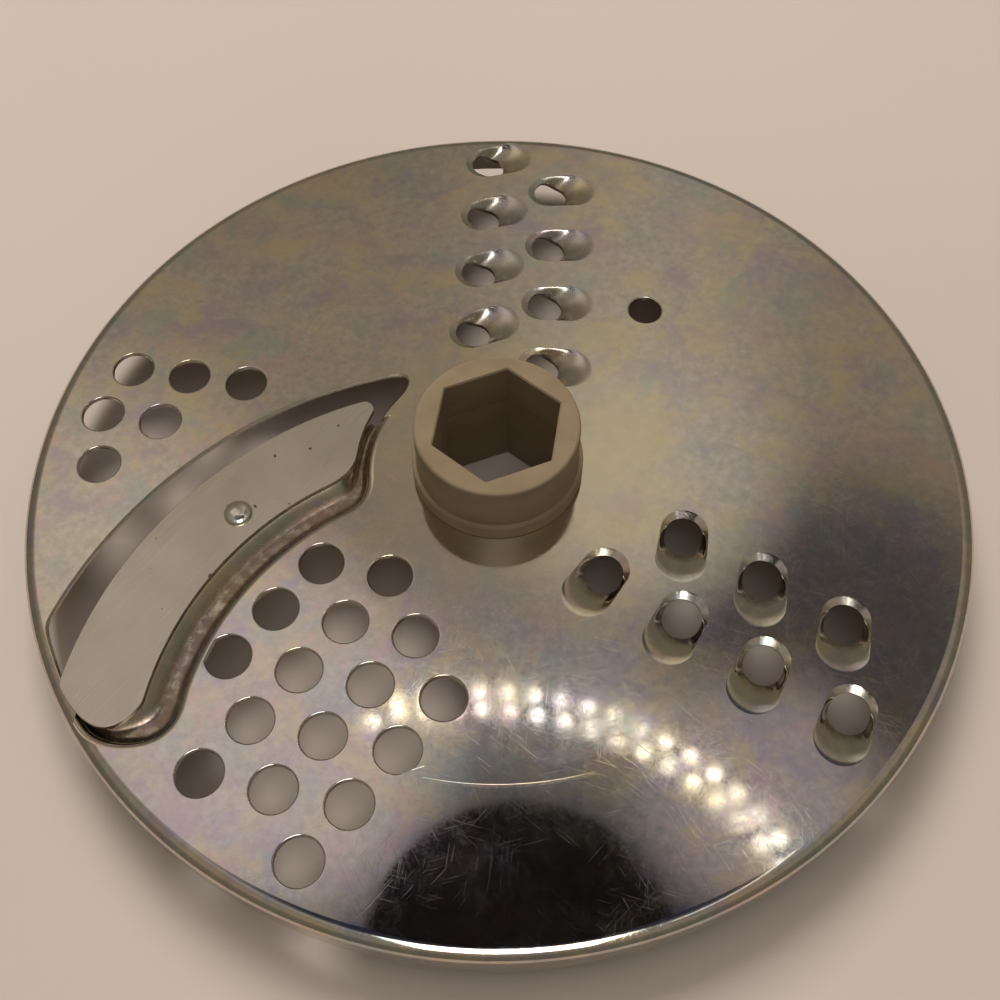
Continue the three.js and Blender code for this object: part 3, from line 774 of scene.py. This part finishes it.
# ---------------------------------------------------------------- studio
EYE = Vector((0, -116.66, 184.69)) * MM     # camera and aim, from the middle of the flat face
AIM = Vector((0.3, -7.9, 0)) * MM
CAMERA_ROLL = math.radians(1.0)
LENS = 41.27
LAMP_HEIGHT = 300                            # of the ring lamp above the flat face
LAMP_ROWS = [((-13, -84), 154), ((-18, -95), 157)]
LAMP_ARC = (-30, 106)                       # bearings between which its lamps are lit
CARD_SIZE = 260
CARD_PLACE = (330, 560)                       # towards the camera's side, and above the floor
FLAG = ((5, -43), 65)                        # black card that the front of the plate mirrors


def make_camera():
    data = bpy.data.cameras.new("camera")
    data.lens = LENS
    data.sensor_width = 36
    camera = bpy.data.objects.new("camera", data)
    bpy.context.scene.collection.objects.link(camera)
    turn = (AIM - EYE).to_track_quat("-Z", "Y").to_matrix().to_4x4()
    place = Matrix.Translation(Vector((0, 0, TOP * MM)) + EYE)
    camera.matrix_world = place @ turn @ Matrix.Rotation(-CAMERA_ROLL, 4, "Z")
    bpy.context.scene.camera = camera


def make_floor():
    size = 3000
    mesh = bpy.data.meshes.new("floor")
    corners = [(-size, -size, 0), (size, -size, 0), (size, size, 0), (-size, size, 0)]
    mesh.from_pydata((np.array(corners) * MM).tolist(), [], [(0, 1, 2, 3)])
    floor = bpy.data.objects.new("floor", mesh)
    bpy.context.scene.collection.objects.link(floor)
    finish = Finish("floor_paper", Roughness=0.85)
    tone = finish.spread(finish.noise(250, 2), 0.3, 0.7)
    finish.give("Base Color", finish.mix(tone, (0.58, 0.505, 0.455, 1), (0.62, 0.54, 0.487, 1)))
    mesh.materials.append(finish.material)


def glossy_only(thing):
    thing.visible_camera = False
    thing.visible_diffuse = False
    thing.visible_shadow = False


def make_ring_lamp():
    """Small bright lamps in two rows, and a black card, seen only as reflections."""
    height = TOP + LAMP_HEIGHT
    size, pitch = 3.4, 12.3
    dots = []
    for centre, radius in LAMP_ROWS:
        turn = math.degrees(pitch / radius)
        for place in polar(radius, np.arange(LAMP_ARC[0], LAMP_ARC[1], turn), centre):
            outline = polar(size, np.arange(8) * 45, place)
            dots.append(loops_mesh([lifted(outline, height + step) for step in (0, 1)]))
    lamp = solid("ring_lamp", *dots)
    glow = Finish("lamp_glow", Emission_Strength=3.2)
    glow.shader.inputs["Emission Color"].default_value = (1, 0.96, 0.88, 1)
    lamp.data.materials.append(glow.material)
    glossy_only(lamp)
    centre, radius = FLAG
    card = solid("black_card", turned([(radius, height + 6), (radius, height + 7)], centre))
    black = Finish("card_black", Base_Color=(0.006, 0.006, 0.010, 1), Roughness=1.0)
    card.data.materials.append(black.material)
    glossy_only(card)


def make_bright_card():
    """A bright card behind the camera that the far flanks of teeth and holes mirror."""
    bearings = np.arange(4) * 90 + 45
    outline = polar(CARD_SIZE / math.sqrt(2), bearings)
    level, rise = CARD_PLACE
    card = solid("bright_card", loops_mesh([lifted(outline + (0, -level), rise + step) for step in (0, 1)]))
    glow = Finish("card_glow", Emission_Strength=6.0)
    glow.shader.inputs["Emission Color"].default_value = (1, 0.97, 0.92, 1)
    card.data.materials.append(glow.material)
    glossy_only(card)


def make_light(name, place, size, power, colour):
    """A square soft light that faces the middle of the plate."""
    data = bpy.data.lights.new(name, "AREA")
    data.size = size
    data.energy = power
    data.color = colour
    light = bpy.data.objects.new(name, data)
    light.location = place
    light.rotation_euler = (-Vector(place)).to_track_quat("-Z", "Y").to_euler()
    light.visible_glossy = False
    bpy.context.scene.collection.objects.link(light)


# brightness of the surroundings by height, as sines of the elevation
SURROUNDINGS = [
    (0.00, (0.17, 0.15, 0.12)), (0.55, (0.19, 0.17, 0.13)), (0.67, (0.27, 0.23, 0.18)),
    (0.72, (0.33, 0.28, 0.22)), (0.80, (0.33, 0.28, 0.22)), (0.87, (0.30, 0.26, 0.23)),
    (0.91, (0.34, 0.30, 0.29)),
    (0.935, (0.42, 0.39, 0.39)), (0.955, (0.20, 0.19, 0.19)), (0.97, (0.05, 0.05, 0.07)),
    (1.00, (0.02, 0.02, 0.04)),
]
# wide soft patches of them: bearing and elevation, angles within and beyond which they fade, colour
PATCHES = [
    ((80, 46), (1, 10), (0.50, 0.44, 0.36)),
    ((132, 58), (3, 15), (0.72, 0.63, 0.52)),
    ((122, 68), (3, 11), (0.74, 0.66, 0.66)),
    ((52, 62), (3, 11), (0.09, 0.08, 0.08)),
    ((77, 57), (2, 9), (0.62, 0.57, 0.49)),
    ((52, 70), (2, 7), (0.44, 0.39, 0.40)),
]


def make_world():
    """Soft surroundings, brighter and darker by height, with a few wide patches."""
    world = bpy.data.worlds.new("studio")
    world.use_nodes = True
    nodes, links = world.node_tree.nodes, world.node_tree.links
    direction = nodes.new("ShaderNodeTexCoord").outputs["Generated"]
    split = nodes.new("ShaderNodeSeparateXYZ")
    ramp = nodes.new("ShaderNodeValToRGB")
    links.new(direction, split.inputs[0])
    links.new(split.outputs["Z"], ramp.inputs["Fac"])
    elements = ramp.color_ramp.elements
    while len(elements) < len(SURROUNDINGS):
        elements.new(0.5)
    for element, (place, colour) in zip(elements, SURROUNDINGS):
        element.position = place
        element.color = (*colour, 1)
    shade = ramp.outputs["Color"]
    for (bearing, elevation), (near, far), colour in PATCHES:
        bearing, elevation = math.radians(bearing), math.radians(elevation)
        level = math.cos(elevation)
        towards = nodes.new("ShaderNodeVectorMath")
        towards.operation = "DOT_PRODUCT"
        towards.inputs[1].default_value = (
            level * math.cos(bearing), level * math.sin(bearing), math.sin(elevation),
        )
        links.new(direction, towards.inputs[0])
        amount = nodes.new("ShaderNodeMapRange")
        amount.interpolation_type = "SMOOTHSTEP"
        amount.inputs["From Min"].default_value = math.cos(math.radians(far))
        amount.inputs["From Max"].default_value = math.cos(math.radians(near))
        links.new(towards.outputs["Value"], amount.inputs["Value"])
        blend = nodes.new("ShaderNodeMix")
        blend.data_type = "RGBA"
        links.new(amount.outputs["Result"], blend.inputs[0])
        links.new(shade, blend.inputs[6])
        blend.inputs[7].default_value = (*colour, 1)
        shade = blend.outputs[2]
    links.new(shade, nodes["Background"].inputs["Color"])
    bpy.context.scene.world = world
    bpy.context.scene.view_settings.view_transform = "Standard"


make_camera()
make_plate(plate_steel())
make_blade(blade_steel())
make_rivet(rivet_steel())
make_hub(hub_plastic())
make_floor()
make_ring_lamp()
make_bright_card()
make_world()
make_light("back_softbox", (-0.15, 0.8, 1.15), 0.7, 15, (1, 0.95, 0.88))
make_light("top_softbox", (0.1, -0.1, 1.1), 0.8, 1.6, (1, 0.96, 0.92))
